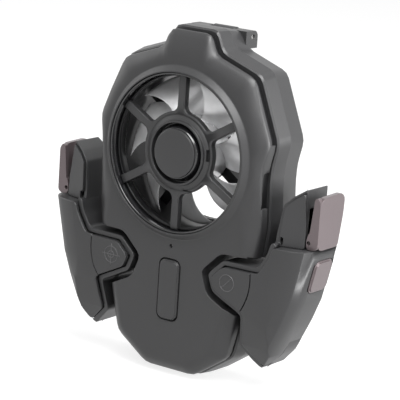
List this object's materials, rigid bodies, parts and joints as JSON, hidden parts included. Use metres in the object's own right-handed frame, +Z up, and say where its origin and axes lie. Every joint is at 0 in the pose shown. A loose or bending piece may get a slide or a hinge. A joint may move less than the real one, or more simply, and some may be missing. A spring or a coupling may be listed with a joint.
{
  "type": "phone cooling fan",
  "caption": "Clip-on phone cooling fan with a guarded blower in a sculpted body, sliding side grips with triggers, keys and phone jaws, and a hinged top clamp.",
  "frame": {"origin": "on the fan axis, in the plane of the rubber seat that the phone rests on", "axes": "+X to the right seen from the fan side, +Y from the fan towards the phone, +Z up"},
  "size_m": [0.1318, 0.0416, 0.1443],
  "materials": {
    "matte_grey_plastic": "fine grain, matte",
    "gloss_black_plastic": "polished black",
    "silver_plastic": "silver lacquer",
    "pearl_plastic": "pearly lacquer",
    "steel": "turned",
    "socket_steel": "stamped",
    "switch_metal": "stamped",
    "winding_copper": "lacquered wire",
    "magnet": "bonded, dull",
    "circuit_board": "solder mask",
    "battery_cell": "foil pouch",
    "clear_lens": "frosted light guide",
    "soft_rubber": "soft, matte",
    "conductive_rubber": "soft, matte",
    "bushing_plastic": "slippery nylon"
  },
  "bodies": {
    "body": {"front_cover": "matte_grey_plastic", "trim_band": "gloss_black_plastic", "mid_frame": "matte_grey_plastic", "rear_housing": "matte_grey_plastic", "duct_ring": "gloss_black_plastic", "fan_guard": "matte_grey_plastic", "hub_cap": "matte_grey_plastic", "fan_frame": "gloss_black_plastic", "stator": "winding_copper", "bearing": "steel", "main_board": "circuit_board", "battery": "battery_cell", "usb_socket": "socket_steel", "led_lens": "clear_lens", "power_switch": "switch_metal", "seat_pad": "soft_rubber", "case_screws": "steel", "left_rail_block": "bushing_plastic", "right_rail_block": "bushing_plastic", "clamp_pin": "steel"},
    "fan": {"fan_rotor": "silver_plastic", "rotor_shaft": "steel", "rotor_magnet": "magnet"},
    "power_button": {"power_key": "matte_grey_plastic"},
    "clamp": {"clamp_arm": "matte_grey_plastic", "clamp_pad": "soft_rubber"},
    "right_grip": {"right_tray": "matte_grey_plastic", "right_cap": "matte_grey_plastic", "right_horn_plate": "matte_grey_plastic", "right_trigger_pin": "steel", "right_trigger_spring": "steel", "right_board": "circuit_board", "right_switches": "switch_metal", "right_rods": "steel", "right_slide_springs": "steel", "right_screws": "steel", "right_jaw": "matte_grey_plastic", "right_jaw_pad": "soft_rubber", "right_touch_pad": "conductive_rubber"},
    "right_shoulder_trigger": {"right_trigger": "pearl_plastic"},
    "right_button": {"right_side_button": "pearl_plastic"},
    "right_key": {"right_icon_key": "matte_grey_plastic"},
    "left_grip": {"left_tray": "matte_grey_plastic", "left_cap": "matte_grey_plastic", "left_horn_plate": "matte_grey_plastic", "left_trigger_pin": "steel", "left_trigger_spring": "steel", "left_board": "circuit_board", "left_switches": "switch_metal", "left_rods": "steel", "left_slide_springs": "steel", "left_screws": "steel", "left_jaw": "matte_grey_plastic", "left_jaw_pad": "soft_rubber", "left_touch_pad": "conductive_rubber"},
    "left_shoulder_trigger": {"left_trigger": "pearl_plastic"},
    "left_button": {"left_side_button": "pearl_plastic"},
    "left_key": {"left_icon_key": "matte_grey_plastic"}
  },
  "joints": [
    {"name": "fan_spin", "type": "hinge", "parent": "body", "child": "fan", "pos_m": [0, 0, 0], "axis": [0, 1, 0], "continuous": true},
    {"name": "power_key_press", "type": "slide", "parent": "body", "child": "power_button", "axis": [0, 1, 0], "range_m": [0, 0.0008], "stiffness_N_per_m": 900, "springref_m": -0.0006},
    {"name": "clamp_arm_fold", "type": "hinge", "parent": "body", "child": "clamp", "pos_m": [0, 0.0009, 0.0468], "axis": [1, 0, 0], "range_deg": [0, 90], "stiffness_Nm_per_rad": 0.02, "springref_deg": -22.92},
    {"name": "right_grip_slide", "type": "slide", "parent": "body", "child": "right_grip", "axis": [1, 0, 0], "range_m": [0, 0.032], "stiffness_N_per_m": 90, "springref_m": -0.02, "deforming": ["right_slide_springs"]},
    {"name": "right_trigger_pull", "type": "hinge", "parent": "right_grip", "child": "right_shoulder_trigger", "pos_m": [0.0616, -0.0136, -0.0264], "axis": [0, -1, 0], "range_deg": [0, 9], "stiffness_Nm_per_rad": 0.12, "springref_deg": -4.58},
    {"name": "right_side_button_press", "type": "slide", "parent": "right_grip", "child": "right_button", "axis": [-0.9759, 0, 0.2181], "range_m": [0, 0.0012], "stiffness_N_per_m": 700, "springref_m": -0.0006},
    {"name": "right_icon_key_press", "type": "slide", "parent": "right_grip", "child": "right_key", "axis": [0, 1, 0], "range_m": [0, 0.0008], "stiffness_N_per_m": 900, "springref_m": -0.0006},
    {"name": "left_grip_slide", "type": "slide", "parent": "body", "child": "left_grip", "axis": [-1, 0, 0], "range_m": [0, 0.032], "stiffness_N_per_m": 90, "springref_m": -0.02, "deforming": ["left_slide_springs"]},
    {"name": "left_trigger_pull", "type": "hinge", "parent": "left_grip", "child": "left_shoulder_trigger", "pos_m": [-0.0616, -0.0136, -0.0264], "axis": [0, 1, 0], "range_deg": [0, 9], "stiffness_Nm_per_rad": 0.12, "springref_deg": -4.58},
    {"name": "left_side_button_press", "type": "slide", "parent": "left_grip", "child": "left_button", "axis": [0.9759, 0, 0.2181], "range_m": [0, 0.0012], "stiffness_N_per_m": 700, "springref_m": -0.0006},
    {"name": "left_icon_key_press", "type": "slide", "parent": "left_grip", "child": "left_key", "axis": [0, 1, 0], "range_m": [0, 0.0008], "stiffness_N_per_m": 900, "springref_m": -0.0006}
  ]
}
